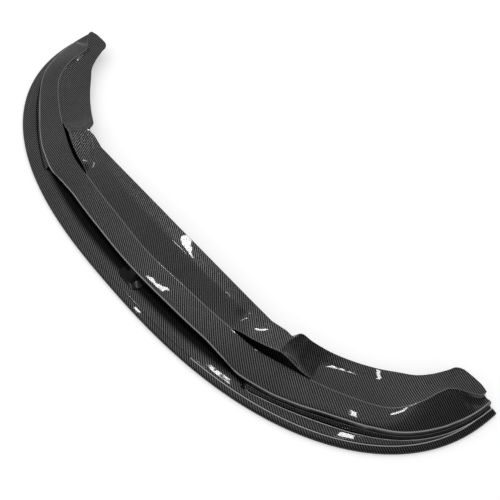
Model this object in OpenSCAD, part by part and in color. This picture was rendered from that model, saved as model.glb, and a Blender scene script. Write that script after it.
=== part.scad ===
// Front splitter lip: an upper moulding bonded over a thin blade, with a wide slot between them at
// the front and a crescent duct mouth on each side. X runs across the car, -Y is the front and Z is
// up. The origin is on the floor below the middle of the outline.

/* [Outline] */
// Overall width across the two wheel-arch ends
overall_w = 1704; // [1500:1:1850]
// Overall depth from the middle of the front to the back of the end tabs
overall_d = 491; // [450:1:550]
// Straight run of the blade's edge at each wheel-arch end
end_run = 8; // [4:1:20]
// How full the outline is across the front
front_fullness = 2.46; // [2.35:0.01:2.6]
// How full the outline is down the sides
side_fullness = 2.24; // [2.1:0.01:2.4]

/* [Blade] */
// Thickness of the blade's laminate
blade_wall = 3.5; // [2.5:0.1:4]
// Height of the blade's rounded rim
rim_h = 11; // [10:0.5:12]
// Width of the return under the rim
rim_return = 8; // [6:0.5:12]
// Height of the blade's top at the seam
blade_h = 14; // [13:0.5:15]
// Distance from the rim to the first, faint line on the blade
faint_line_in = 12; // [10:0.5:14]
// Distance from the rim to the crease on the blade
crease_in = 23; // [19:0.5:26]
// Depth of the rebate that the upper moulding's foot sits in
rebate_d = 4.5; // [3.5:0.1:5]
// Distance from the rim to the back of the slot floor
slot_floor_in = 106; // [98:1:112]
// Width of the ramp from the slot floor down to the tray
ramp_w = 22; // [16:1:30]
// How far the tray stays in from the rear flange
tray_inset = 9; // [6:1:14]
// How far the tray stays in from the side flanges at the wheel arch
tray_side_inset = 50; // [44:1:60]

/* [Seam] */
// Distance from the rim to the seam where the foot begins
seam_start_in = 33; // [31:0.5:35]
// Distance from the rim to the seam at its widest
seam_mid_in = 43; // [40:0.5:45]
// Distance from the rim to the seam at the wheel arch
seam_end_in = 15; // [13:0.5:16]
// Thickness of the bond under the foot
bond_gap = 0.3; // [0.2:0.05:0.5]

/* [Leading edge] */
// Thickness of the upper moulding's laminate
lip_wall = 3; // [2.5:0.1:3.5]
// Height of the leading edge above the floor
lead_h = 40; // [37:0.5:43]
// Depth of the turned-down edge over the slot
lip_drop = 11; // [9:0.5:12]
// Radius of the leading edge's corner
lead_r = 5; // [4:0.5:6]
// Distance from the rim to the leading edge across the slot
lead_in = 67; // [64:0.5:72]
// Half of the slot's length, measured along the rim
slot_half = 445; // [435:1:450]
// Where the leading edge bends back towards the blade, along the rim
bend_at = 300; // [285:1:315]

/* [Deck and duct mouths] */
// Distance from the rim to the deck's rear crease
deck_in = 124; // [120:0.5:128]
// Height of the deck's rear crease in the middle
deck_h = 46; // [44:0.5:49]
// Height of the ridge along the sides
ridge_h = 41; // [40:0.5:44]
// Where each duct mouth begins, along the rim
duct_start = 338; // [330:1:346]
// Where each duct mouth ends, along the rim
duct_end = 595; // [586:1:604]
// Where the brow over the duct mouth is highest, along the rim
brow_at = 496; // [490:1:502]
// Height of the brow's top over the deck
brow_rise = 37; // [33:0.5:41]
// Height of the step from the brow's panel down to the side flange
step_drop = 16; // [12:0.5:18]

/* [Rear flange] */
// Distance from the front of the blade to the rear edge in the middle
rear_edge_in = 223; // [218:0.5:228]
// How far the rear edge sweeps back at its ends
rear_sweep = 5; // [0:0.5:8]
// Distance from the rim to the rear crease
rear_crease_in = 185; // [180:0.5:190]
// Height of the rear crease in the middle
rear_crease_h = 76; // [72:0.5:80]
// Height of the rear edge in the middle
rear_edge_h = 70; // [66:0.5:74]

/* [Side flanges and end tabs] */
// Distance from the rim to the inner edge of the side flange
flange_in = 206; // [200:0.5:212]
// Height of the inner edge of the side flange
flange_h = 35; // [33:0.5:38]
// Depth of the dish along the side flange
dish_d = 6.5; // [3:0.5:8]
// Height of the end tab at the wheel arch
tab_h = 52; // [50:0.5:55]
// Distance from the rim to the outer corner of the end tab
tab_outer_in = 43; // [40:0.5:48]
// Distance from the rim to the inner corner of the end tab
tab_inner_in = 132; // [126:0.5:138]
// Length of the curve where the ridge sweeps out to the tab's corner
tab_sweep = 78; // [70:1:90]
// How far the end tab bulges past the wheel-arch end
tab_bulge = 8; // [4:0.5:10]

/* [Centre strut] */
// Distance of the strut from the middle of the lip
strut_x = 22; // [0:1:30]
// Width of the strut's front face at its foot
strut_w = 30; // [28:1:40]
// Width of the strut's front face at its top
strut_top_w = 20; // [16:1:26]
// Height of the strut's tongue above the blade
strut_h = 21; // [18:0.5:23]
// Distance from the rim to the strut's front at its foot
strut_in = 44; // [42:0.5:46]
// Width of the strut's foot flange
strut_foot_w = 78; // [70:1:90]
// Thickness of the strut's foot flange
strut_foot_t = 2.5; // [2:0.1:3]

/* [Hidden] */

half_w = overall_w / 2;
front_y = -overall_d / 2;
end_y = overall_d / 2 - tab_bulge;
curve_d = end_y - end_run - front_y;
seat_z = blade_h - rebate_d;

// The rim's outline is a superellipse, and t turns from 0 in the middle to 90 at the end
function rim_at(t) = [
    half_w * pow(sin(t), 2 / front_fullness),
    end_y - end_run - curve_d * pow(cos(t), 2 / side_fullness)
];
turn_steps = 360;
turns = [for (i = [0 : turn_steps]) 90 * i / turn_steps];
rim_pts = [for (t = turns) rim_at(t)];
rim_len = [for (i = 0, s = 0; i <= turn_steps;
    s = s + (i < turn_steps ? norm(rim_pts[i + 1] - rim_pts[i]) : 0), i = i + 1) s];
turn_of = [for (i = [0 : turn_steps]) [rim_len[i], turns[i]]];
curve_len = rim_len[turn_steps];
end_s = curve_len + end_run;

// A point on the rim, s along it from the middle, and the direction in from it
function rim_point(s) = s <= curve_len ? rim_at(lookup(s, turn_of)) : [half_w, end_y - end_s + s];
function rim_slope(p) = [
    front_fullness / half_w * pow(max(0, p[0]) / half_w, front_fullness - 1),
    -side_fullness / curve_d * pow(max(0, end_y - end_run - p[1]) / curve_d, side_fullness - 1)
];
function rim_inward(s) = let (g = rim_slope(rim_point(min(s, curve_len)))) -g / norm(g);

// A smooth curve through the points [place, value] of a list, level at its first point
function gap(t, i) = (t[i + 1][1] - t[i][1]) / (t[i + 1][0] - t[i][0]);
function slope(t, i) =
    i == 0 ? 0 :
    i == len(t) - 1 ? gap(t, i - 1) :
    gap(t, i - 1) * gap(t, i) <= 0 ? 0 :
    2 * gap(t, i - 1) * gap(t, i) / (gap(t, i - 1) + gap(t, i));
function part_of(t, s) = max([for (i = [0 : len(t) - 2]) if (i == 0 || t[i][0] <= s) i]);
function blend(a, b, m, n, w, f) =
    a * (1 - f) * (1 - f) * (1 + 2 * f) + b * f * f * (3 - 2 * f)
    + w * (m * f * (1 - f) * (1 - f) - n * f * f * (1 - f));
function smooth(t, s) =
    s <= t[0][0] ? t[0][1] :
    s >= t[len(t) - 1][0] ? t[len(t) - 1][1] :
    let (i = part_of(t, s), w = t[i + 1][0] - t[i][0])
    blend(t[i][1], t[i + 1][1], slope(t, i), slope(t, i + 1), w, (s - t[i][0]) / w);

// A place along the rim, as a share of the way from the slot's end to the wheel arch
function along(f) = slot_half + f * (end_s - slot_half);

// How each line of the lip runs: its distance in from the rim and its height, along the rim
seam_line = [[slot_half, seam_start_in], [along(0.115), seam_mid_in - 5], [along(0.32), seam_mid_in],
    [along(0.42), seam_mid_in - 3], [along(0.64), seam_mid_in - 14], [along(0.74), seam_mid_in - 18],
    [end_s, seam_end_in]];
lead_line = [[0, lead_in - 1], [bend_at / 2, lead_in + 2], [bend_at, lead_in],
    [(bend_at + slot_half) / 2, lead_in - 9], [slot_half - 4, seam_start_in + 13],
    [along(0.07), seam_start_in + 13], [along(0.185), seam_mid_in + 7], [along(0.32), seam_mid_in + 12],
    [along(0.42), seam_mid_in + 10], [along(0.52), seam_mid_in + 3], [along(0.64), seam_mid_in - 7],
    [along(0.755), seam_mid_in - 11], [end_s, seam_end_in + 7]];
lead_rise = [[0, 0], [bend_at, 0], [slot_half, -4], [along(0.12), -2], [along(0.27), 0],
    [along(0.48), 0], [along(0.64), -2], [along(0.755), -4], [end_s, -7]];
deck_line = [[0, deck_in], [160, deck_in + 6], [duct_start, deck_in + 1], [440, deck_in - 5],
    [540, deck_in - 3], [duct_end + 15, deck_in - 6], [710, deck_in - 13], [785, deck_in - 23],
    [840, deck_in - 30], [944, deck_in - 25], [end_s - tab_sweep - 25, deck_in - 20],
    [end_s - tab_sweep, deck_in - 22], [end_s - 57, deck_in - 32], [end_s - 34, deck_in - 58],
    [end_s - 23, tab_outer_in + 10], [end_s - 8, tab_outer_in + 1], [end_s, tab_outer_in]];
deck_height = [[0, deck_h], [160, deck_h], [duct_start, deck_h + 3], [420, deck_h + 1],
    [490, deck_h + 4], [540, deck_h], [duct_end, ridge_h + 2], [680, ridge_h],
    [785, ridge_h - 1], [840, ridge_h + 2], [885, tab_h - 5], [944, tab_h], [end_s, tab_h]];
brow_line = [[duct_start, 0], [duct_start + 33, 0.34 * brow_rise], [duct_start + 65, 0.57 * brow_rise],
    [duct_start + 87, 0.74 * brow_rise], [duct_start + 110, 0.84 * brow_rise],
    [brow_at - 13, 0.95 * brow_rise], [brow_at, brow_rise], [brow_at + 24, 0.86 * brow_rise],
    [duct_end - 56, 0.58 * brow_rise], [duct_end - 37, 0.28 * brow_rise], [duct_end, 0]];
crease_line = [[0, rear_crease_in], [360, rear_crease_in - 6], [420, rear_crease_in - 17],
    [brow_at - 4, rear_crease_in - 22], [brow_at + 16, rear_crease_in - 8],
    [duct_end, rear_crease_in - 4], [800, rear_crease_in - 12], [898, rear_crease_in - 28],
    [948, rear_crease_in - 44], [end_s - 86, tab_inner_in - 3], [end_s, tab_inner_in - 20]];
rear_bulge = rear_crease_h - deck_h
    - (rear_edge_h - deck_h) * (rear_crease_in - deck_in) / (rear_edge_in - deck_in);
crease_up = [[0, rear_bulge], [200, 0.93 * rear_bulge], [304, 0.72 * rear_bulge], [340, 0.4 * rear_bulge],
    [376, 0.1 * rear_bulge], [400, 0]];
step_at = brow_at - 2;
dish = [[step_at, 0], [step_at + 3, 0.2 * step_drop], [step_at + 8, 0.45 * step_drop],
    [step_at + 22, 0.92 * step_drop], [step_at + 36, step_drop], [step_at + 51, 0.8 * step_drop],
    [step_at + 86, dish_d + 2], [700, dish_d], [944, dish_d - 1], [end_s - 60, 0.6 * dish_d],
    [end_s, 0.3 * dish_d]];
flange_line = [[403, flange_in - 9], [brow_at - 25, flange_in - 13], [brow_at - 14, flange_in - 18],
    [brow_at - 6, flange_in - 22], [brow_at + 4, flange_in - 15], [brow_at + 16, flange_in - 4],
    [580, flange_in], [655, flange_in - 1], [740, flange_in - 5], [840, flange_in - 15],
    [898, flange_in - 25], [948, flange_in - 39], [end_s - 86, tab_inner_in + 20],
    [end_s, tab_inner_in]];
edge_height = [[0, rear_edge_h], [200, rear_edge_h - 5], [330, rear_edge_h - 9],
    [403, rear_edge_h - 10], [brow_at - 25, rear_edge_h - 4], [brow_at - 6, rear_edge_h + 2],
    [brow_at + 16, rear_edge_h + 5], [brow_at + 49, flange_h + 21], [580, flange_h + 12],
    [616, flange_h + 6], [655, flange_h + 3], [700, flange_h + 1], [790, flange_h - 0.5],
    [860, flange_h + 1.5], [944, flange_h + 5], [end_s - 86, flange_h + 8], [end_s, tab_h - 4]];

// The rear edge is straight as far as the bend at x = rear_straight, then it follows flange_line
rear_straight = 356;
rear_bend_at = 403;
function rear_in(s) = let (p = rim_point(s), v = rim_inward(s))
    (front_y + rear_edge_in + rear_sweep * p[0] / rear_straight - p[1]) / v[1];
function edge_in(s) = s < rear_bend_at ? rear_in(s) : smooth(flange_line, s);

// The slot is open up to slot_half, and past it the foot is bonded down
foot_step = 2;
function has_foot(s) = s > slot_half;
function duct_open(s) = s > duct_start + 1 && s < duct_end - 1;
slit_w = 3.5;
function brow(s) = duct_open(s) ? smooth(brow_line, s) : 0;
function slit(s) = duct_open(s) ? slit_w : 0;

// How hollow the deck is under the end tab, from 0 to 1
function hollow(s) = smooth([[end_s - 60, 0], [end_s - 26, 1], [end_s, 1]], s);
hollow_d = 5;

// The end tab's rear edge bulges and has rounded corners
bulge_line = [[0, 0], [tab_outer_in - 4, 0], [tab_outer_in, 0], [tab_outer_in + 14, 0.75 * tab_bulge],
    [tab_outer_in + 30, tab_bulge], [tab_inner_in - 40, tab_bulge], [tab_inner_in - 24, 0.9 * tab_bulge],
    [tab_inner_in - 8, 0.2 * tab_bulge], [tab_inner_in, -tab_bulge]];
function bulge(s, n) = smooth(bulge_line, n) * smooth([[end_s - 58, 0], [end_s, 1]], s);

// The front of the upper moulding's section: foot, wall and leading edge
function front_rows(s) =
    let (n = smooth(lead_line, s), z = lead_h + smooth(lead_rise, s), b = smooth(seam_line, s),
        f = seat_z + bond_gap + lip_wall)
    concat(
        has_foot(s)
        ? [[b + 0.34 * (n - b), f], [n - 2.2, f], [n - 0.6, f + 2]]
        : [[n + 1.6, z - lip_drop], [n + 0.9, z - lip_drop + 1.5], [n + 0.3, z - lip_drop + 3]],
        [[n, z - lead_r], [n + 0.3 * lead_r, z - 0.3 * lead_r], [n + lead_r, z]]
    );

// The deck between the leading edge and its rear crease. Under the end tab its rear rows gather at the
// foot of the upright wall that carries the tab's edge.
deck_steps = [0.3, 0.62, 0.9];
crown = 1.5;
function deck_rows(s) =
    let (a = smooth(lead_line, s) + lead_r, z = lead_h + smooth(lead_rise, s),
        b = smooth(deck_line, s), h = smooth(deck_height, s), k = hollow(s))
    concat(
        [for (f = deck_steps)
            [a + (b - a) * (f + 0.09 * k * smooth([[0.3, 0], [0.9, 1]], f)),
                z + (h - z) * pow(f, 1 + 12 * k) + 4 * f * (1 - f) * crown * (1 - k)
                - hollow_d * f * k]],
        [[b, h]]
    );

// The brow or ridge, the dished panel behind it, the rear crease and the rear edge
brow_lean = 0.14;
ridge_w = 9;
crease_r = 2.5;
hem_w = 3;
function panel_rows(s) =
    let (n = smooth(deck_line, s) + brow_lean * brow(s), z = smooth(deck_height, s) + brow(s),
        e = edge_in(s), k = smooth(edge_height, s), d = smooth(dish, s), u = smooth(crease_up, s),
        c = smooth(crease_line, s), h = z + (k - z) * (c - n) / (e - n) + u,
        m = c - crease_r, g = (h - z) / (c - n), q = (k - h) / (e - c),
        r = ridge_w * g - 0.45 * d)
    [
        [n + slit(s), z + r * slit(s) / ridge_w],
        [n + ridge_w, z + r],
        [n + (m - n) * 0.34, z + (m - n) * 0.34 * g - 0.87 * d],
        [n + (m - n) * 0.65, z + (m - n) * 0.65 * g - d],
        [m, h - crease_r * g - 0.75 * d],
        [c + crease_r, h + crease_r * q - 0.5 * d],
        [(c + e) / 2 + 2, (h + k) / 2 + q - 0.25 * d],
        [e - hem_w, k - hem_w * q],
        [e, k]
    ];

// The blade's section: return, rounded rim, faint line, crease, seam, rebate, ramp and tray
rim_r = rim_h / 2;
edge_r = 1.2;
tray_room = [[0, tray_inset], [duct_end, tray_inset + 6], [800, 0.6 * tray_side_inset],
    [end_s, tray_side_inset]];
floor_line = [[0, slot_floor_in], [slot_half, slot_floor_in], [700, slot_floor_in - 8],
    [862, slot_floor_in - 28], [end_s, slot_floor_in - 63]];
function tray_in(s) = edge_in(s) - smooth(tray_room, s);
function blade_rows(s) =
    let (b = smooth(seam_line, s), r = tray_in(s),
        g = smooth(floor_line, s))
    concat(
        [[rim_r + rim_return, 0], [rim_r, 0], [0.3 * rim_r, 0.3 * rim_r], [0, rim_r],
            [0.3 * rim_r, rim_h - 0.3 * rim_r], [rim_r, rim_h],
            [min(faint_line_in, b - 6), rim_h + 0.8], [min(crease_in, b - 3), blade_h - 0.4]],
        has_foot(s)
        ? [[b - edge_r, blade_h], [b, blade_h - 0.3 * edge_r], [b + 0.3 * edge_r, blade_h - edge_r],
            [b + 0.3 * edge_r, seat_z], [g, seat_z]]
        : [[b, blade_h], [b + 2, blade_h], [b + 4, blade_h], [b + 6, blade_h], [g, blade_h]],
        [[g + ramp_w, blade_wall], [r, blade_wall]]
    );

// The inner side of a laminate of the thickness w whose outer side is the line p
function turn_in(a, b) = let (d = (b - a) / norm(b - a)) [d[1], -d[0]];
function miter(u, v) = (u + v) / max(0.5, 1 + u * v);
function inner(p, w) = [for (i = [0 : len(p) - 1])
    let (u = turn_in(p[max(0, i - 1)], p[max(1, i)]),
        v = turn_in(p[min(len(p) - 2, i)], p[min(len(p) - 1, i + 1)]))
    p[i] + w * miter(u, v)];

// A section's points put in their place in the lip, s along the rim; side is -1 or 1
function place(s, side, rows) =
    let (p = rim_point(s), v = rim_inward(s))
    [for (r = rows) [side * (p[0] + v[0] * r[0]), p[1] + v[1] * r[0], r[1]]];
function place_lip(s, side, rows) =
    let (q = place(s, side, rows))
    [for (i = [0 : len(q) - 1]) q[i] + [0, bulge(s, rows[i][0]), 0]];

// Places along the rim in order, where the ones that are too close to a key place are left out
function in_order(t) = len(t) < 2 ? t : let (m = t[floor(len(t) / 2)]) concat(
    in_order([for (s = t) if (s < m) s]), [m], in_order([for (s = t) if (s > m) s]));
function clear_of(t, keys, d) = [for (s = t) if (min([for (k = keys) abs(s - k)]) > d) s];

// Where the upper moulding's sections stand along the rim, closer where the shape changes fast
lip_keys = [0, duct_start, duct_start + 4, slot_half - foot_step, slot_half + foot_step, step_at - 6,
    step_at, step_at + 3, step_at + 8, step_at + 15, duct_end - 4, duct_end, end_s - 5, end_s];
lip_places = in_order(concat(lip_keys, clear_of(concat(
    [for (s = [34 : 34 : duct_start - 50]) s],
    [for (s = [duct_start - 40 : 14 : duct_end + 12]) s],
    [for (s = [duct_end + 24 : 26 : end_s - 90]) s],
    [for (s = [end_s - 77 : 6 : end_s - 8]) s]), lip_keys, 5)));
// Where the blade's sections stand
blade_keys = [0, slot_half - foot_step, slot_half + foot_step, end_s];
blade_places = in_order(concat(blade_keys, clear_of(concat(
    [for (s = [46 : 46 : bend_at - 20]) s],
    [for (s = [bend_at : 27 : end_s - 12]) s]), blade_keys, 12)));
// Both halves of the lip, from the left end to the right end
function both(t) = concat([for (i = [len(t) - 1 : -1 : 1]) t[i]], t);
function side_of(t, i) = i < len(t) - 1 ? -1 : 1;

// Two triangles for the four corners a to d, split the same way on the left as on the right
function quad(a, b, c, d, side) = side < 0 ? [[a, b, d], [b, c, d]] : [[a, b, c], [a, c, d]];

// The upper moulding: the deck and the panel part along the duct mouths
deck_n = len(front_rows(0)) + len(deck_rows(0));
panel_n = len(panel_rows(0));
row_n = deck_n + panel_n;
function outer_rows(s) = concat(front_rows(s), deck_rows(s), panel_rows(s));
function without(p, k) = [for (i = [0 : len(p) - 1]) if (i != k) p[i]];
function span(p, a, b) = [for (i = [a : b]) p[i]];
function inner_rows(s) =
    let (p = outer_rows(s))
    duct_open(s)
    ? concat(inner(span(p, 0, deck_n - 1), lip_wall), inner(span(p, deck_n, row_n - 1), lip_wall))
    : let (q = inner(without(p, deck_n), lip_wall))
        concat(span(q, 0, deck_n - 1), span(q, deck_n - 1, row_n - 2));

lip_at = both(lip_places);
lip_last = len(lip_at) - 1;

// Corner k of section i, on the outer side (0) or the inner side (1). Where the duct is closed, the
// panel starts from the deck's own corner.
function corner(i, k, layer) =
    (i * 2 + layer) * row_n + (k == deck_n && !duct_open(lip_at[i]) ? deck_n - 1 : k);
function between(i, a, la, b, lb) =
    quad(corner(i, a, la), corner(i, b, lb), corner(i + 1, b, lb), corner(i + 1, a, la),
        side_of(lip_places, i));

module upper_lip() {
    points = [for (i = [0 : lip_last]) each concat(
        place_lip(lip_at[i], side_of(lip_places, i), outer_rows(lip_at[i])),
        place_lip(lip_at[i], side_of(lip_places, i), inner_rows(lip_at[i])))];
    strips = [for (k = [0 : row_n - 2]) if (k != deck_n - 1) k];
    bays = [0 : lip_last - 1];
    mouth = [for (i = bays) if (duct_open(lip_at[i]) || duct_open(lip_at[i + 1])) i];
    outside = [for (i = bays) for (k = strips) each between(i, k, 0, k + 1, 0)];
    inside = [for (i = bays) for (k = strips) each between(i, k + 1, 1, k, 1)];
    front = [for (i = bays) each between(i, 0, 1, 0, 0)];
    rear = [for (i = bays) each between(i, row_n - 1, 0, row_n - 1, 1)];
    deck_edge = [for (i = mouth) each between(i, deck_n - 1, 0, deck_n - 1, 1)];
    brow_edge = [for (i = mouth) each between(i, deck_n, 1, deck_n, 0)];
    ends = [for (k = strips) each [
        [corner(0, k, 0), corner(0, k, 1), corner(0, k + 1, 1), corner(0, k + 1, 0)],
        [corner(lip_last, k, 0), corner(lip_last, k + 1, 0),
            corner(lip_last, k + 1, 1), corner(lip_last, k, 1)]]];
    color("#26282b") polyhedron(points = points,
        faces = concat(outside, inside, front, rear, deck_edge, brow_edge, ends), convexity = 10);
}

// The blade: one laminate from the return under the rim to the rear edge of the tray
blade_at = both(blade_places);
blade_last = len(blade_at) - 1;
blade_n = len(blade_rows(0));
ring = 2 * blade_n;
module lower_splitter() {
    points = [for (i = [0 : blade_last])
        let (p = blade_rows(blade_at[i]), q = inner(p, blade_wall))
        each place(blade_at[i], side_of(blade_places, i),
            concat(p, [for (k = [blade_n - 1 : -1 : 0]) q[k]]))];
    around = [for (i = [0 : blade_last - 1]) for (k = [0 : ring - 1])
        each quad(i * ring + k, i * ring + (k + 1) % ring, (i + 1) * ring + (k + 1) % ring,
            (i + 1) * ring + k, side_of(blade_places, i))];
    ends = [for (k = [0 : blade_n - 2]) each [
        [k, ring - 1 - k, ring - 2 - k, k + 1],
        [for (m = [k, k + 1, ring - 2 - k, ring - 1 - k]) blade_last * ring + m]]];
    color("#1f2124") polyhedron(points = points, faces = concat(around, ends), convexity = 10);
}

// The strut: a rounded foot flange on the blade, a sloping front face up to a tongue in front of the
// leading edge, and a body that passes under the turned-down lip
strut_front_y = front_y + strut_in;
lead_face_y = front_y + smooth(lead_line, strut_x);
strut_gap = 0.3;
tongue_t = 5;
strut_back = 30;
under_lip_h = lead_h - lip_drop - blade_h - strut_gap;
foot_out = 7;
foot_r = 18;
tongue_y = lead_face_y - strut_gap - tongue_t;
module slab(w, y0, y1, z, t) {
    translate([-w / 2, y0, z]) cube([w, y1 - y0, t]);
}
module strut_foot() {
    linear_extrude(strut_foot_t) hull() {
        for (side = [-1, 1])
            translate([side * (strut_foot_w / 2 - foot_r), strut_front_y - foot_out + foot_r])
                circle(r = foot_r, $fn = 64);
        translate([-strut_foot_w / 2, lead_face_y + strut_back - 4])
            square([strut_foot_w, 4]);
    }
}
module strut_front() {
    hull() {
        slab(strut_w, strut_front_y, tongue_y + tongue_t, strut_foot_t - 1, 1);
        slab(strut_top_w, tongue_y, tongue_y + tongue_t, strut_h - 1, 1);
    }
}
module strut_body() {
    top_w = strut_w + (strut_top_w - strut_w) * under_lip_h / strut_h;
    hull() {
        slab(strut_w, tongue_y, lead_face_y + strut_back, strut_foot_t - 1, 1);
        slab(top_w, tongue_y, lead_face_y + strut_back, under_lip_h - 1, 1);
    }
}
module center_strut() {
    color("#1b1c1f") translate([strut_x, 0, blade_h]) {
        strut_foot();
        strut_front();
        strut_body();
    }
}

upper_lip();
lower_splitter();
center_strut();
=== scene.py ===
# %% [markdown]
# # A carbon-fibre front splitter lip
#
# The object is the glossy lip that hangs under a car's front bumper. It has three pieces: a thin blade
# that lies low over the road, an upper moulding that is bonded onto it, and a small strut at the middle
# of the wide slot between them. Both mouldings are woven carbon fibre under clear lacquer, and the strut
# is plain gloss black.
#
# The CAD solids have the true shapes, but they are made of flat facets and have no finish. This lesson
# turns them into smooth laminates, lays a woven cloth over them that follows the lip round its curve,
# and lights them as a photo studio would.

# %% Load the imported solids
import math

import bmesh
import bpy
import numpy as np
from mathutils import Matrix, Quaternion, Vector


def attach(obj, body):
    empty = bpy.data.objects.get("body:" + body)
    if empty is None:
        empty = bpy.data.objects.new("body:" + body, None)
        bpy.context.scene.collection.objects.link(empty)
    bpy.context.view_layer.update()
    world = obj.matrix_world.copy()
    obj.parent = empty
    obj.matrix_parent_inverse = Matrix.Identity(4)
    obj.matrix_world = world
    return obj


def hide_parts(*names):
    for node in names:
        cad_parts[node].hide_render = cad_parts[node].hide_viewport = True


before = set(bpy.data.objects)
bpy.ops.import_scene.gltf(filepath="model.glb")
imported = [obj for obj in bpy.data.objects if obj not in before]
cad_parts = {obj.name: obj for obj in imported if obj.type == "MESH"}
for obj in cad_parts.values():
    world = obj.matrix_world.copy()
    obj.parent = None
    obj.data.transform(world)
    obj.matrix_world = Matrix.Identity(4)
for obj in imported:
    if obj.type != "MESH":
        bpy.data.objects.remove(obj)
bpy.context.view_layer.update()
print("CAD nodes:", sorted(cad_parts))

# %% [markdown]
# ## Measuring along the lip
#
# The lip is long and curved, so x and y are poor guides on it. Its maker thinks in two other numbers:
# how far a point is along the rim from the middle, and how far in from the rim it is. The rim's outline
# is a superellipse, so it is sampled here once, and each point is measured from its nearest sample. The
# blade's crease is found with these two numbers, and so are the lines that the finish draws.

# %% Sample the rim
HALF_WIDTH = 0.852
FRONT_Y = -0.2455
END_Y = 0.2375
END_RUN = 0.008          # the last stretch at each end runs straight back
FRONT_FULLNESS = 2.46
SIDE_FULLNESS = 2.24

turn = np.radians(np.linspace(0.0, 90.0, 2401))
curve_depth = END_Y - END_RUN - FRONT_Y
rim_x = HALF_WIDTH * np.sin(turn) ** (2 / FRONT_FULLNESS)
rim_y = END_Y - END_RUN - curve_depth * np.maximum(np.cos(turn), 0) ** (2 / SIDE_FULLNESS)
rim = np.c_[np.append(rim_x, HALF_WIDTH), np.append(rim_y, END_Y)]
rim_along = np.append(0.0, np.cumsum(np.linalg.norm(np.diff(rim, axis=0), axis=1)))
print("Rim, middle to end: %.0f mm" % (1000 * rim_along[-1]))


# %% Measure points from the rim
EVERY = 4                # the nearest sample is looked for among every fourth one
BATCH = 4000


def along_and_in(points):
    """How far each point is along the rim from the middle, and how far in from the rim it is."""
    flat = np.c_[np.abs(points[:, 0]), points[:, 1]]
    along = np.empty(len(flat))
    inward = np.empty(len(flat))
    for start in range(0, len(flat), BATCH):
        part = flat[start:start + BATCH]
        gap = part[:, None, :] - rim[None, ::EVERY, :]
        near = EVERY * np.argmin((gap ** 2).sum(axis=2), axis=1)
        near = np.clip(near, 1, len(rim) - 2)
        run = rim[near + 1] - rim[near - 1]
        run /= np.linalg.norm(run, axis=1)[:, None]
        offset = part - rim[near]
        along[start:start + BATCH] = rim_along[near] + (offset * run).sum(axis=1)
        inward[start:start + BATCH] = offset[:, 1] * run[:, 0] - offset[:, 0] * run[:, 1]
    return along, inward


# %% [markdown]
# ## From facets to a laminate
#
# A real laminate comes out of a polished mould, so light runs over it without a break. A CAD node's mesh
# is loose triangles and is never changed. A copy of it is merged, its triangles are joined back into the
# quads that the section lines and the lip's length make, and a subdivision surface rounds it. The cut
# edges and the blade's crease would melt away, so they are given a crease weight first.

# %% Copy a node and select on it
MERGE_DISTANCE = 0.00002


def pick_none():
    if bpy.context.object and bpy.context.object.mode != "OBJECT":
        bpy.ops.object.mode_set(mode="OBJECT")
    bpy.ops.object.select_all(action="DESELECT")


def make_active(piece):
    pick_none()
    piece.select_set(True)
    bpy.context.view_layer.objects.active = piece


def copy_of(node, name):
    """A copy of a CAD node, with its own mesh, whose loose triangles are merged."""
    piece = bpy.data.objects.new(name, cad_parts[node].data.copy())
    bpy.context.scene.collection.objects.link(piece)
    piece.data.materials.clear()
    make_active(piece)
    bpy.ops.object.mode_set(mode="EDIT")
    bpy.ops.mesh.select_all(action="SELECT")
    bpy.ops.mesh.remove_doubles(threshold=MERGE_DISTANCE)
    bpy.ops.mesh.normals_make_consistent(inside=False)
    bpy.ops.object.mode_set(mode="OBJECT")
    return piece


# %% Read a mesh's vertices and edges
def positions(piece):
    spots = np.empty(3 * len(piece.data.vertices))
    piece.data.vertices.foreach_get("co", spots)
    return spots.reshape(-1, 3)


def ends_of_edges(piece):
    ends = np.empty(2 * len(piece.data.edges), dtype=int)
    piece.data.edges.foreach_get("vertices", ends)
    return ends.reshape(-1, 2)


# %% Find and crease edges
def choose_no_edge(piece):
    """Leaves edit mode on, with edges as what is selected and none of them chosen."""
    make_active(piece)
    bpy.ops.object.mode_set(mode="EDIT")
    bpy.ops.mesh.select_mode(type="EDGE")
    bpy.ops.mesh.select_all(action="DESELECT")


def sharp_edges(piece, degrees):
    """Which edges bend by more than this angle."""
    choose_no_edge(piece)
    bpy.ops.mesh.edges_select_sharp(sharpness=math.radians(degrees))
    bpy.ops.object.mode_set(mode="OBJECT")
    chosen = np.empty(len(piece.data.edges), dtype=bool)
    piece.data.edges.foreach_get("select", chosen)
    return chosen


def crease_edges(piece, chosen, weight):
    """Gives the chosen edges a crease weight, as the Item panel's Mean Crease does."""
    choose_no_edge(piece)
    bpy.ops.object.mode_set(mode="OBJECT")
    piece.data.edges.foreach_set("select", np.asarray(chosen, dtype=bool))
    bpy.ops.object.mode_set(mode="EDIT")
    bpy.ops.transform.edge_crease(value=weight)
    bpy.ops.object.mode_set(mode="OBJECT")


# %% Turn the triangles back into quads and subdivide
QUAD_BEND = math.radians(70)
QUAD_SKEW = math.radians(120)
ROUNDING_LEVELS = 2


def to_quads(piece):
    make_active(piece)
    bpy.ops.object.mode_set(mode="EDIT")
    bpy.ops.mesh.select_all(action="SELECT")
    bpy.ops.mesh.tris_convert_to_quads(face_threshold=QUAD_BEND, shape_threshold=QUAD_SKEW)
    bpy.ops.object.mode_set(mode="OBJECT")
    sides = np.array([len(face.vertices) for face in piece.data.polygons])
    print("%s: %d quads, %d triangles left" % (piece.name, (sides == 4).sum(), (sides == 3).sum()))


def subdivide(piece):
    make_active(piece)
    rounding = piece.modifiers.new("rounding", "SUBSURF")
    rounding.levels = ROUNDING_LEVELS
    rounding.render_levels = ROUNDING_LEVELS
    bpy.ops.object.modifier_apply(modifier="rounding")
    bpy.ops.object.shade_smooth()
    piece.data.calc_loop_triangles()
    print("%s: %d triangles" % (piece.name, len(piece.data.loop_triangles)))


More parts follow.
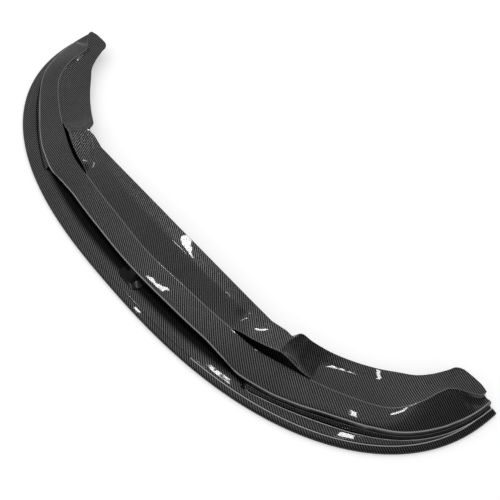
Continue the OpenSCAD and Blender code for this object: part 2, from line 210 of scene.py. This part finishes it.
# %% [markdown]
# ## The upper moulding
#
# The deck, the panel behind it, the brows over the duct mouths, the side flanges and the end tabs are one
# moulding. Its trimmed edges are sharp, where the cloth was cut back to the edge of the mould, and they
# bend by a right angle. Every other bend has a radius, so 55 degrees tells the two apart. The one bend
# that stays fairly crisp is the ridge between the deck and what lies behind it. No angle finds that, so
# a walk along the lip follows the edges that bend the most.

# %% Follow a line along the lip
LEAST_STEP = 0.0025      # an edge that gains less than this along the rim runs across the lip


def bends_of_edges(piece):
    """How far the surface bends at each edge, in radians."""
    shape = bmesh.new()
    shape.from_mesh(piece.data)
    bends = np.array([edge.calc_face_angle(0.0) for edge in shape.edges])
    shape.free()
    return bends


def line_along(piece, start):
    """From the vertex nearest to start, both ways along the lip, the edges where it bends the most."""
    spots = positions(piece)
    bends = bends_of_edges(piece)
    along = along_and_in(spots)[0] * np.sign(spots[:, 0])
    beside = {}
    for number, (a, b) in enumerate(ends_of_edges(piece)):
        beside.setdefault(a, []).append((b, number))
        beside.setdefault(b, []).append((a, number))
    first = int(np.argmin(np.linalg.norm(spots - np.array(start), axis=1)))
    found = []
    for way in (1, -1):
        here = first
        while True:
            onward = [(bends[number], number, b) for b, number in beside[here]
                      if way * (along[b] - along[here]) > LEAST_STEP]
            if not onward:
                break
            _, number, here = max(onward)
            found.append(number)
    chosen = np.zeros(len(piece.data.edges), dtype=bool)
    chosen[found] = True
    return chosen


# %% Make the upper moulding
TRIMMED_BEND = 55
TRIMMED_CREASE = 0.8
RIDGE_START = (0, -0.1215, 0.046)
RIDGE_CREASE = 0.6

upper = copy_of("upper_lip", "upper_moulding")
to_quads(upper)
ridge = line_along(upper, RIDGE_START)
ridge_spots = positions(upper)[np.unique(ends_of_edges(upper)[ridge])]
print("Ridge line: %d edges" % ridge.sum())
crease_edges(upper, ridge, RIDGE_CREASE)
crease_edges(upper, sharp_edges(upper, TRIMMED_BEND), TRIMMED_CREASE)
subdivide(upper)
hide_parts("upper_lip")
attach(upper, "root")

# %% [markdown]
# ## The blade
#
# The blade is the same kind of laminate. Its rim is rolled over, and a crease runs along it 23 mm in from
# the rim, where the light breaks. That crease is shallow, so no angle finds it: its edges are found by
# how far in from the rim they are.

# %% Make the blade
CREASE_IN = 0.023
CREASE_REACH = 0.0006
BLADE_TOP_FROM = 0.0125  # anything lower is the blade's underside
BLADE_CREASE = 0.7

blade = copy_of("lower_splitter", "blade")
to_quads(blade)
spots = positions(blade)
blade_in = along_and_in(spots)[1]
at_crease = (np.abs(blade_in - CREASE_IN) < CREASE_REACH) & (spots[:, 2] > BLADE_TOP_FROM)
crease_line = at_crease[ends_of_edges(blade)].all(axis=1)
crease_edges(blade, sharp_edges(blade, TRIMMED_BEND), TRIMMED_CREASE)
crease_edges(blade, crease_line, BLADE_CREASE)
print("Crease edges on the blade:", int(crease_line.sum()))
subdivide(blade)
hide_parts("lower_splitter")
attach(blade, "root")

# %% [markdown]
# ## The strut
#
# The strut is a small black moulding. Its corners are crisp but not knife-sharp, so a narrow bevel gives
# each of them the thin line of light that a moulded corner shows. The CAD's flat faces are cut into
# triangles, and they are dissolved first, or the bevel would follow their diagonals.

# %% Make the strut
FLAT_WITHIN = math.radians(1)
CORNER_RADIUS = 0.0008
CORNER_FROM = math.radians(25)
SMOOTH_BELOW = math.radians(35)

strut = copy_of("center_strut", "slot_strut")
make_active(strut)
bpy.ops.object.mode_set(mode="EDIT")
bpy.ops.mesh.select_all(action="SELECT")
bpy.ops.mesh.dissolve_limited(angle_limit=FLAT_WITHIN)
bpy.ops.object.mode_set(mode="OBJECT")
corner = strut.modifiers.new("corner", "BEVEL")
corner.width = CORNER_RADIUS
corner.segments = 3
corner.limit_method = "ANGLE"
corner.angle_limit = CORNER_FROM
bpy.ops.object.modifier_apply(modifier="corner")
bpy.ops.object.shade_smooth_by_angle(angle=SMOOTH_BELOW)
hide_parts("center_strut")
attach(strut, "root")
print("slot_strut: %d faces" % len(strut.data.polygons))

# %% [markdown]
# ## Laying the cloth
#
# The cloth is laid into the mould nearly flat, and it swings only a little with the lip's curve, so its
# tows run along wide arcs about a point far behind the lip. The first UV map counts tows along those arcs
# and from the front to the back. In front of the leading edge and round the rim the surface turns down,
# and there the cloth is unfolded outwards by the drop, or it would be smeared down the wall.
#
# The other maps hold lengths in metres. All of them have the distance along the rim as their first
# number. The second is the distance in from the rim, from the leading edge or the bond's seam, and from
# the ridge. The finish uses them to draw lines that follow the lip.

# %% Unfold the cloth
TOW = 0.00184
SWING_RADIUS = 1.65
SWING_FRONT_Y = -0.15
TURN_WIDTH = 0.006       # over this width the surface goes from lying flat to turned down
RIM_STEP = 0.002


def rim_at(along):
    return np.c_[np.interp(along, rim_along, rim[:, 0]), np.interp(along, rim_along, rim[:, 1])]


def unfolded(spots, along, inward, turned_in, turned_from):
    """Where each point lies in plan once the wall outside the turned-down line is folded out flat."""
    near = np.clip((turned_in + TURN_WIDTH - inward) / TURN_WIDTH, 0, 1)
    down = near * np.maximum(turned_from - spots[:, 2], 0)
    run = rim_at(along + RIM_STEP) - rim_at(along - RIM_STEP)
    run /= np.maximum(np.linalg.norm(run, axis=1), 1e-9)[:, None]
    out_x = np.sign(spots[:, 0]) * run[:, 1]
    return spots[:, 0] + out_x * down, spots[:, 1] - run[:, 0] * down


# %% Lay the cloth and the lengths on a moulding
def add_map(piece, name, values):
    """A UV map with these two numbers for each vertex."""
    layer = piece.data.uv_layers.new(name=name)
    corners = np.empty(len(piece.data.loops), dtype=int)
    piece.data.loops.foreach_get("vertex_index", corners)
    layer.data.foreach_set("uv", values[corners].ravel())


def lay_cloth(piece, turned_in, turned_from, lines):
    """The cloth's own map, the rim's, and one for each named line."""
    spots = positions(piece)
    along, inward = along_and_in(spots)
    x, y = unfolded(spots, along, inward, turned_in(along), turned_from)
    behind = SWING_RADIUS + SWING_FRONT_Y - y
    swing = np.arctan2(x, behind)
    cloth = np.c_[SWING_RADIUS * swing, SWING_RADIUS - np.hypot(x, behind)] / TOW
    for old in list(piece.data.uv_layers):
        piece.data.uv_layers.remove(old)
    add_map(piece, "cloth", cloth)
    add_map(piece, "rim", np.c_[along, inward])
    for name, line in lines.items():
        add_map(piece, name, np.c_[along, inward - line(along)])
    print("%s: cloth %.0f by %.0f tows" % (piece.name, np.ptp(cloth[:, 0]), np.ptp(cloth[:, 1])))


# %% [markdown]
# ## Finding the lines on the finished surfaces
#
# The leading edge is the outermost place at which the upper moulding is still high. The seam is the
# innermost place at which the blade's top is still at its full height, before it steps down into the
# rebate. Both wander in and out along the lip, so they are looked up at sixty places along the rim, and
# a line is drawn through what was found there.

# %% Find the leading edge, the seam and the ridge
PLACES = 60
PLACE_REACH = 0.012
DECK_FROM = 0.030
BLADE_FULL_HEIGHT = 0.0134
REBATE_BY = 0.046


def edge_of(piece, chosen, pick):
    """How far in the chosen vertices reach, as a line along the rim."""
    spots = positions(piece)
    along, inward = along_and_in(spots)
    wanted = chosen(spots[:, 2], inward)
    places, reach = [], []
    for place in np.linspace(0, rim_along[-1], PLACES):
        here = inward[wanted & (np.abs(along - place) < PLACE_REACH)]
        if len(here):
            places.append(place)
            reach.append(pick(here))
    return lambda distance: np.interp(distance, places, reach)


def line_through(points):
    """The line through these points, as how far in it is along the rim."""
    along, inward = along_and_in(points)
    order = np.argsort(along)
    return lambda distance: np.interp(distance, along[order], inward[order])


leading_edge = edge_of(upper, lambda height, inward: height > DECK_FROM, np.min)
seam = edge_of(blade, lambda height, inward: (height > BLADE_FULL_HEIGHT) & (inward < REBATE_BY),
               np.max)
side = np.array([0.6, 0.8, 1.0])
print("At", side, "m along, the seam is", np.round(1000 * seam(side), 1), "mm in from the rim")

# %% Lay the cloth on both mouldings
DECK_EDGE_HEIGHT = 0.0385
RIM_EDGE_HEIGHT = 0.0105
RIM_TURN_IN = 0.001

lay_cloth(upper, leading_edge, DECK_EDGE_HEIGHT,
          {"edge": leading_edge, "ridge": line_through(ridge_spots)})
lay_cloth(blade, lambda along: np.full(len(along), RIM_TURN_IN), RIM_EDGE_HEIGHT, {"edge": seam})

# %% [markdown]
# ## Building with nodes
#
# Both finishes and the studio's world are worked out with Math nodes, so a few helpers make the nodes and
# link them. A value that is a plain number is set on the socket itself.

# %% Node helpers
def new_material(name):
    material = bpy.data.materials.new(name)
    material.use_nodes = True
    tree = material.node_tree
    tree.nodes.clear()
    output = tree.nodes.new("ShaderNodeOutputMaterial")
    shader = tree.nodes.new("ShaderNodeBsdfPrincipled")
    tree.links.new(shader.outputs[0], output.inputs[0])
    return material, shader


def feed(tree, socket, value):
    if isinstance(value, (int, float, tuple)):
        socket.default_value = value
    else:
        tree.links.new(value, socket)


def maths(tree, operation, first, second=0.0, third=0.0, clamp=False):
    """One Math node."""
    node = tree.nodes.new("ShaderNodeMath")
    node.operation = operation
    node.use_clamp = clamp
    for socket, value in zip(node.inputs, (first, second, third)):
        feed(tree, socket, value)
    return node.outputs[0]


def product(tree, first, *others):
    for other in others:
        first = maths(tree, "MULTIPLY", first, other)
    return first


def colour_between(tree, share, first, second):
    node = tree.nodes.new("ShaderNodeMix")
    node.data_type = "RGBA"
    feed(tree, node.inputs["Factor"], share)
    feed(tree, node.inputs[6], first)
    feed(tree, node.inputs[7], second)
    return node.outputs[2]


# %% Nodes that read the surface
def split(tree, vector):
    """The three numbers of a vector."""
    parts = tree.nodes.new("ShaderNodeSeparateXYZ")
    tree.links.new(vector, parts.inputs[0])
    return parts.outputs


def read_map(tree, name):
    """The numbers of a UV map."""
    lookup = tree.nodes.new("ShaderNodeUVMap")
    lookup.uv_map = name
    return split(tree, lookup.outputs[0])


def cloudy(tree, scale, detail):
    """Soft noise on the object's own coordinates, with about this many clouds to the metre."""
    cloud = tree.nodes.new("ShaderNodeTexNoise")
    cloud.inputs["Scale"].default_value = scale
    cloud.inputs["Detail"].default_value = detail
    place = tree.nodes.new("ShaderNodeTexCoord").outputs["Object"]
    tree.links.new(place, cloud.inputs["Vector"])
    return cloud.outputs["Fac"]


def relief(tree, heights, depth, strength, under=None):
    """Bump: the surface leans as if heights from 0 to 1 stood for this depth, over what is under."""
    bump = tree.nodes.new("ShaderNodeBump")
    bump.inputs["Strength"].default_value = strength
    bump.inputs["Distance"].default_value = depth
    tree.links.new(heights, bump.inputs["Height"])
    if under is not None:
        tree.links.new(under, bump.inputs["Normal"])
    return bump.outputs[0]


# %% [markdown]
# ## The weave
#
# The cloth is a two-by-two twill: each tow passes over two crossing tows and then under two, and every
# row starts one tow later, which draws the diagonal ribs. The pattern is counted out from the cloth's UV
# map. A tow that lies on top is a shallow dome, a little round across its width and arched along the two
# tows that it floats over.

# %% The twill
REPEAT = 4.0             # tows from one rib to the next
ROUND_ACROSS = 0.25
ARCHED_ALONG = 0.75


def twill(tree):
    """Which direction is on top (0 or 1), and how high its tow stands there (0 to 1)."""
    u, v = read_map(tree, "cloth")[:2]
    row, column = maths(tree, "FLOOR", v), maths(tree, "FLOOR", u)
    step = maths(tree, "FLOORED_MODULO", maths(tree, "ADD", row, column), REPEAT)
    across_on_top = maths(tree, "LESS_THAN", step, 1.5)     # steps 0 and 1 of the four

    def dome(cross, run, offset):
        """A tow that lies on top: round across its width and arched along its float."""
        side = maths(tree, "MULTIPLY_ADD", maths(tree, "FRACT", cross), 2.0, -1.0)
        place = maths(tree, "FLOORED_MODULO", maths(tree, "ADD", run, offset), REPEAT)
        arch = maths(tree, "SUBTRACT", place, 1.0)
        fall = maths(tree, "ADD",
                     product(tree, maths(tree, "POWER", side, 2.0), ROUND_ACROSS),
                     product(tree, maths(tree, "POWER", arch, 2.0), ARCHED_ALONG))
        return maths(tree, "SUBTRACT", 1.0, fall, clamp=True)

    over = dome(u, maths(tree, "ADD", v, column), 0.0)
    under = dome(v, maths(tree, "ADD", u, row), 2.0)
    along_on_top = maths(tree, "SUBTRACT", 1.0, across_on_top)
    height = maths(tree, "ADD", product(tree, over, across_on_top),
                   product(tree, under, along_on_top))
    return across_on_top, height


# %% [markdown]
# ## Painted highlight lines
#
# Where a laminate bends sharply its edge catches the light as a fine pale line. These lines are painted
# highlights: a pale colour that is not metal, drawn along the leading edge, the ridge and the foot of the
# upper moulding, and on the blade along the seam and the bead inside the rim. Each is narrower than a mesh
# face, so it is drawn by the distance from its line, which the maps hold, and it fades smoothly on both
# sides.

# %% Pale lines
def line_at(tree, distance, centre, half_width):
    """1 where the distance is at the centre, fading to 0 on both sides."""
    off = maths(tree, "DIVIDE", maths(tree, "SUBTRACT", distance, centre), half_width)
    return maths(tree, "EXPONENT", product(tree, maths(tree, "POWER", off, 2.0), -1.0))


def painted_highlight_lines(tree, lines, readings):
    """How much painted highlight shows, which is the strongest of these lines at each point."""
    highlight_share = 0.0
    for line in lines:
        shows = line_at(tree, readings[line["by"]], line["centre"], line["half_width"])
        shows = product(tree, shows, line["amount"])
        for name, least in line.get("above", {}).items():
            shows = product(tree, shows, maths(tree, "GREATER_THAN", readings[name], least))
        for name, most in line.get("below", {}).items():
            shows = product(tree, shows, maths(tree, "LESS_THAN", readings[name], most))
        highlight_share = maths(tree, "MAXIMUM", highlight_share, shows)
    return highlight_share


# %% [markdown]
# ## Carbon under lacquer
#
# The fibres are dark and conduct, so they shine like a rough metal. The tows that run across the lip send
# more light to the eye than those that run along it, so only they are pale, and most at the top of their
# dome; beside the weave's own pattern, that is a sheen painted into the metal's colour. On steep walls, on
# faces that look down and deep in the slot, shade is painted in: all the cloth could mirror there is the
# dark inside of the lip, so its colour is darkened to nearly black, and its lacquer is turned down with
# it.
# The lacquer is a clear coat with hardly any roughness. It is never quite flat: slow waves about 55 mm
# long and fainter ones of 14 mm break up the outlines of the lamps that it mirrors. The coat has these
# waves alone, and the fibres under it also have the relief of the tows.

# %% What all the carbon shares
BETWEEN_TOWS = (0.003, 0.003, 0.0032, 1)
# The pale colour of the painted highlight lines.
PAINTED_HIGHLIGHT = (0.8, 0.8, 0.81, 1)
PEAK_SHARPNESS = 2.4
PATCHINESS = (0.5, 0.75)                                # how far it varies, from what
# These set where shade is painted into the carbon: faces that look down, steep walls, deep in the slot.
FACING_DOWN = -0.15      # the upward part of the normal below which a face looks down
STEEP_BELOW = 0.62
STEEP_FADE = 6.0
DEEP_SHADE_FADE = 0.014
SHADE_PAINTED_BY = -0.9
FIBRE_ROUGHNESS = 0.52
ACROSS_SMOOTHER_BY = -0.06
TOW_RELIEF = (0.0003, 0.12)                             # height and strength
WAVES = ((18.0, 0.0011, 0.6), (70.0, 0.0001, 0.6))      # to the metre, height and strength
BEAD_HALF_WIDTH = 0.0025
BEAD_RELIEF = (0.00065, 1.0)


def painted_shade_masks(tree, inward, deep_shade_from):
    """Painted shade: 1 on faces that look down and past the given depth in from the rim, 1 on steep walls.
    """
    upward = split(tree, tree.nodes.new("ShaderNodeNewGeometry").outputs["True Normal"])[2]
    down_or_deep_shade = maths(tree, "LESS_THAN", upward, FACING_DOWN)
    if deep_shade_from is not None:
        past = maths(tree, "SUBTRACT", inward, deep_shade_from)
        down_or_deep_shade = maths(tree, "MAXIMUM", down_or_deep_shade, maths(tree, "DIVIDE", past, DEEP_SHADE_FADE, clamp=True))
    below = maths(tree, "SUBTRACT", STEEP_BELOW, upward)
    return down_or_deep_shade, maths(tree, "MULTIPLY", below, STEEP_FADE, clamp=True)


def lacquer_surface(tree, inward, bead_in):
    """The lacquer's waves, with a low bead along the rim if it has one."""
    surface = None
    for scale, height, strength in WAVES:
        surface = relief(tree, cloudy(tree, scale, 0.0), height, strength, surface)
    if bead_in is not None:
        bead = line_at(tree, inward, bead_in, BEAD_HALF_WIDTH)
        surface = relief(tree, bead, *BEAD_RELIEF, surface)
    return surface


# %% The carbon material
def carbon(name, pale, lines, deep_shade_from=None, bead_in=None):
    """Twill under lacquer, with painted shade. Past the given depth in from the rim, shade is painted in.
    """
    material, shader = new_material(name)
    tree = material.node_tree
    across_on_top, height = twill(tree)
    along, inward = read_map(tree, "rim")[:2]
    place = split(tree, tree.nodes.new("ShaderNodeTexCoord").outputs["Object"])
    readings = {"x": place[0], "height": place[2], "along": along, "in": inward,
                "past_edge": read_map(tree, "edge")[1], "past_ridge": read_map(tree, "ridge")[1]}

    # Painted shade: the cloth's colour and its lacquer are darkened on steep walls, on faces that look
    # down and, on the blade, deep in the slot.
    down_or_deep_shade, steep = painted_shade_masks(tree, inward, deep_shade_from)
    unshaded = maths(tree, "MULTIPLY_ADD", down_or_deep_shade, SHADE_PAINTED_BY, 1.0)
    patchy = maths(tree, "MULTIPLY_ADD", cloudy(tree, 9.0, 3.0), *PATCHINESS)
    # The pale tops of the across tows are the weave's pattern and partly a sheen painted into the colour.
    share = product(tree, across_on_top, maths(tree, "POWER", height, PEAK_SHARPNESS), patchy,
                    maths(tree, "MULTIPLY_ADD", steep, SHADE_PAINTED_BY, 1.0), unshaded)
    cloth = colour_between(tree, share, BETWEEN_TOWS, pale)
    # Painted highlights: pale lines that are not metal, drawn over the cloth along its edges and creases.
    highlight_share = painted_highlight_lines(tree, lines, readings)
    feed(tree, shader.inputs["Base Color"], colour_between(tree, highlight_share, cloth, PAINTED_HIGHLIGHT))
    feed(tree, shader.inputs["Metallic"], maths(tree, "SUBTRACT", 1.0, highlight_share))
    feed(tree, shader.inputs["Roughness"],
         maths(tree, "MULTIPLY_ADD", across_on_top, ACROSS_SMOOTHER_BY, FIBRE_ROUGHNESS))

    surface = lacquer_surface(tree, inward, bead_in)
    feed(tree, shader.inputs["Coat Weight"], unshaded)
    feed(tree, shader.inputs["Coat Normal"], surface)
    feed(tree, shader.inputs["Normal"], relief(tree, height, *TOW_RELIEF, surface))
    shader.inputs["Coat Roughness"].default_value = 0.03
    shader.inputs["Coat IOR"].default_value = 1.5
    print("%s: %d nodes" % (name, len(tree.nodes)))
    return material


# %% Finish the upper moulding
# Painted highlight lines on the upper moulding: the leading edge, the foot past 0.45 m along, the ridge.
upper.data.materials.append(carbon(
    "lacquered_twill", (0.40, 0.40, 0.412, 1),
    [{"by": "past_edge", "centre": 0.0022, "half_width": 0.0012, "amount": 0.6},
     {"by": "height", "centre": 0.0175, "half_width": 0.0013, "amount": 0.5,
      "above": {"along": 0.45}, "below": {"past_edge": 0.006}},
     {"by": "past_ridge", "centre": 0.0, "half_width": 0.0009, "amount": 0.3}]))

# %% Finish the blade
# On the blade, shade is painted in past 36 mm in from the rim, where the slot's floor lies under the deck.
blade.data.materials.append(carbon(
    "lacquered_twill_blade", (0.38, 0.38, 0.387, 1),
    # Painted highlight lines on the blade's right half only: along the seam and along the crease line.
    [{"by": "past_edge", "centre": -0.0010, "half_width": 0.0012, "amount": 0.9,
      "above": {"along": 0.455, "x": 0.0}},
     {"by": "in", "centre": 0.0172, "half_width": 0.0009, "amount": 0.9,
      "above": {"along": 0.3, "x": 0.0}}],
    deep_shade_from=0.036, bead_in=0.0205))

# %% [markdown]
# ## The strut's gloss black
#
# The strut has no cloth in it. It is plain black plastic with a polish, and all that breaks its surface is
# a little unevenness, as on any moulded part, so one noise varies its colour and its gloss together.

# %% Gloss black plastic
LEAST_ROUGHNESS = 0.12
ROUGHNESS_RANGE = 0.08

black, shader = new_material("gloss_black_plastic")
tree = black.node_tree
uneven = cloudy(tree, 60.0, 2.0)
feed(tree, shader.inputs["Roughness"],
     maths(tree, "MULTIPLY_ADD", uneven, ROUGHNESS_RANGE, LEAST_ROUGHNESS))
feed(tree, shader.inputs["Base Color"],
     colour_between(tree, uneven, (0.006, 0.006, 0.007, 1), (0.012, 0.012, 0.013, 1)))
shader.inputs["Specular IOR Level"].default_value = 0.15
shader.inputs["Coat Weight"].default_value = 0.1
shader.inputs["Coat Roughness"].default_value = 0.05
strut.data.materials.append(black)
print("%s: %d nodes" % (black.name, len(tree.nodes)))

# %% [markdown]
# ## The floor
#
# The lip lies on white paper. The paper's own colour is pale, and a little light that only the camera
# sees lifts it to white, so the soft shadow under the rim stays.

# %% Floor
FLOOR_SIZE = 14
FLOOR_DROP = 0.0004      # it lies this far under the lip, so that the two never share a plane
PAPER_LIFT = 0.42

pick_none()
bpy.ops.mesh.primitive_plane_add(size=FLOOR_SIZE, location=(0, 0, -FLOOR_DROP))
floor = bpy.context.object
floor.name = "studio_floor"

paper, shader = new_material("white_paper")
tree = paper.node_tree
shader.inputs["Base Color"].default_value = (0.82, 0.82, 0.82, 1)
shader.inputs["Roughness"].default_value = 0.9
shader.inputs["Specular IOR Level"].default_value = 0.0
rays = tree.nodes.new("ShaderNodeLightPath")
shader.inputs["Emission Color"].default_value = (1, 1, 1, 1)
feed(tree, shader.inputs["Emission Strength"],
     product(tree, rays.outputs["Is Camera Ray"], PAPER_LIFT))
floor.data.materials.append(paper)
print("%s: %.0f m across" % (floor.name, max(floor.dimensions)))

# %% [markdown]
# ## The studio's world
#
# A glossy black thing is lit by what it mirrors. The camera sees plain white behind the lip, and matt
# surfaces get an even light. The lacquer and the fibres mirror a studio of their own: dim overhead, so
# that the carbon stays dark, paler in a low band all round, and palest in a broad patch on the far left,
# where the studio's softbox would stand. That patch is what makes the ribs of the weave show.

# %% The world
MATT_LIGHT = 0.7
OVERHEAD = 0.08
LOW_BAND = 0.3
LOW_BAND_TOP = 0.52      # the upward part of a direction at which the low band ends
LOW_BAND_FADE = 5.0
PATCH = 0.27
PATCH_AT = (165, 35)     # degrees round from the lip's right, and up
PATCH_EDGE = 0.6         # the cosine of the angle from the middle of the patch to its edge
PATCH_FADE = 14.0

world = bpy.data.worlds.new("studio")
bpy.context.scene.world = world
world.use_nodes = True
tree = world.node_tree
tree.nodes.clear()
output = tree.nodes.new("ShaderNodeOutputWorld")
sky = tree.nodes.new("ShaderNodeBackground")
rays = tree.nodes.new("ShaderNodeLightPath").outputs
way = tree.nodes.new("ShaderNodeTexCoord").outputs["Generated"]


def towards(azimuth, elevation):
    """The cosine of the angle to this direction, and 0 behind."""
    round_by, up_by = math.radians(azimuth), math.radians(elevation)
    node = tree.nodes.new("ShaderNodeVectorMath")
    node.operation = "DOT_PRODUCT"
    tree.links.new(way, node.inputs[0])
    node.inputs[1].default_value = (math.cos(round_by) * math.cos(up_by),
                                    math.sin(round_by) * math.cos(up_by), math.sin(up_by))
    return maths(tree, "MAXIMUM", node.outputs["Value"], 0.0)


# %% What each kind of ray sees
steepness = maths(tree, "ABSOLUTE", split(tree, way)[2])
band = maths(tree, "MULTIPLY", maths(tree, "SUBTRACT", LOW_BAND_TOP, steepness), LOW_BAND_FADE,
             clamp=True)
patch = maths(tree, "MULTIPLY", maths(tree, "SUBTRACT", towards(*PATCH_AT), PATCH_EDGE), PATCH_FADE,
              clamp=True)
mirrored = maths(tree, "MAXIMUM", maths(tree, "MULTIPLY_ADD", patch, PATCH, OVERHEAD),
                 product(tree, band, LOW_BAND))
glossy = rays["Is Glossy Ray"]
matt = product(tree, maths(tree, "SUBTRACT", 1.0, glossy), MATT_LIGHT)
seen_white = maths(tree, "ADD", rays["Is Camera Ray"], rays["Is Transmission Ray"], clamp=True)
strength = maths(tree, "MAXIMUM", seen_white, maths(tree, "MULTIPLY_ADD", mirrored, glossy, matt))
feed(tree, sky.inputs["Strength"], strength)
feed(tree, sky.inputs["Color"], (1, 1, 1, 1))
tree.links.new(sky.outputs[0], output.inputs[0])
print("World: %d nodes" % len(tree.nodes))

# %% [markdown]
# ## The lamps
#
# The sharp white shapes on the lacquer are the studio's strip lamps, mirrored. Each lamp was placed by
# following the camera's line of sight to a highlight and on from there as the surface reflects it, which
# leads to where the lamp has to be. They are long, narrow and weak, so they draw crisp highlights but
# leave the carbon around them dark.

# %% Lamps
def strip_light(name, place, target, roll, length, width, power):
    """A long narrow lamp that faces the target, turned by roll about its own axis."""
    lamp = bpy.data.lights.new(name, "AREA")
    lamp.shape = "RECTANGLE"
    lamp.size = length
    lamp.size_y = width
    lamp.energy = power
    strip = bpy.data.objects.new(name, lamp)
    strip.location = place
    aim = (Vector(target) - Vector(place)).to_track_quat("-Z", "Y")
    strip.rotation_euler = (aim @ Quaternion((0, 0, 1), math.radians(roll))).to_euler()
    bpy.context.scene.collection.objects.link(strip)
    print("%s: %.2f by %.2f m, %.2f W" % (name, length, width, power))


strip_light("rear_strip", (-0.532, 0.611, 1.017), (0.071, -0.048, 0.073), 80, 0.3, 0.05, 0.95)
strip_light("left_strip", (-1.139, -0.17, 2.32), (0.10, -0.19, 0.03), 169, 0.4, 0.05, 1.3)
strip_light("blade_strip", (-2.038, 1.183, 5.896), (0.367, -0.185, 0.014), 40, 0.5, 0.12, 3.8)
strip_light("deck_strip", (0.366, 0.399, 1.559), (0.63, -0.02, 0.04), 87, 0.2, 0.05, 0.63)

# %% [markdown]
# ## The camera
#
# The camera stands to the right of the front and looks down steeply, so the left end is far away and the
# right end is near.

# %% Camera
CAMERA_PLACE = (1.09390608, -0.68873316, 1.70563152)
CAMERA_TILT = 36.055     # degrees up from looking straight down
CAMERA_TURN = 50.370     # degrees round to the left from looking straight back
FOCAL_LENGTH = 58.178
SENSOR_WIDTH = 36

lens = bpy.data.cameras.new("camera")
lens.sensor_width = SENSOR_WIDTH
lens.lens = FOCAL_LENGTH
camera = bpy.data.objects.new("camera", lens)
camera.location = CAMERA_PLACE
camera.rotation_euler = (math.radians(CAMERA_TILT), 0, math.radians(CAMERA_TURN))
bpy.context.scene.collection.objects.link(camera)
bpy.context.scene.camera = camera
bpy.context.scene.view_settings.view_transform = "Standard"
print("Camera: %.0f mm lens, %.2f m up" % (lens.lens, camera.location[2]))
